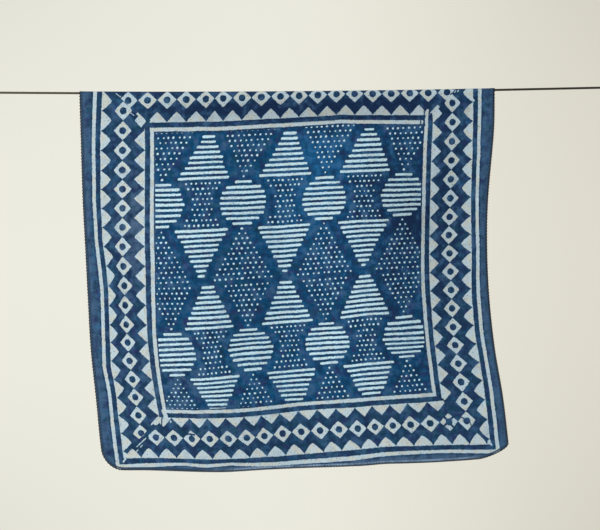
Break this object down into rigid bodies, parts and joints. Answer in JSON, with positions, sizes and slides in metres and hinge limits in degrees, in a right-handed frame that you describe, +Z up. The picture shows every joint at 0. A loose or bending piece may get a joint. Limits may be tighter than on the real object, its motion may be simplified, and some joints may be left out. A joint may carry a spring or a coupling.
{
  "type": "ajrakh cloth hung over a line",
  "caption": "Square block-printed indigo cotton cloth with rounded corners and a bordered, striped and dotted print, hung over a thin taut line between wall eyes.",
  "frame": {"origin": "on the wall plane, midway between the two wall eyes, at the height of the line's ends", "axes": "+X to the right as seen from the front, +Y into the wall, +Z up; the print faces -Y"},
  "size_m": [0.9256, 0.048, 0.524],
  "materials": {
    "indigo_cotton": "matt block-printed cotton",
    "dark_cord": "tightly braided, dull",
    "crimp_alloy": "crimped, satin",
    "plated_steel": "plated, satin"
  },
  "bodies": {
    "root": {"cloth": "indigo_cotton", "line": "dark_cord", "ferrule_left": "crimp_alloy", "ferrule_right": "crimp_alloy", "wall_eye_left": "plated_steel", "wall_eye_right": "plated_steel"}
  },
  "joints": []
}
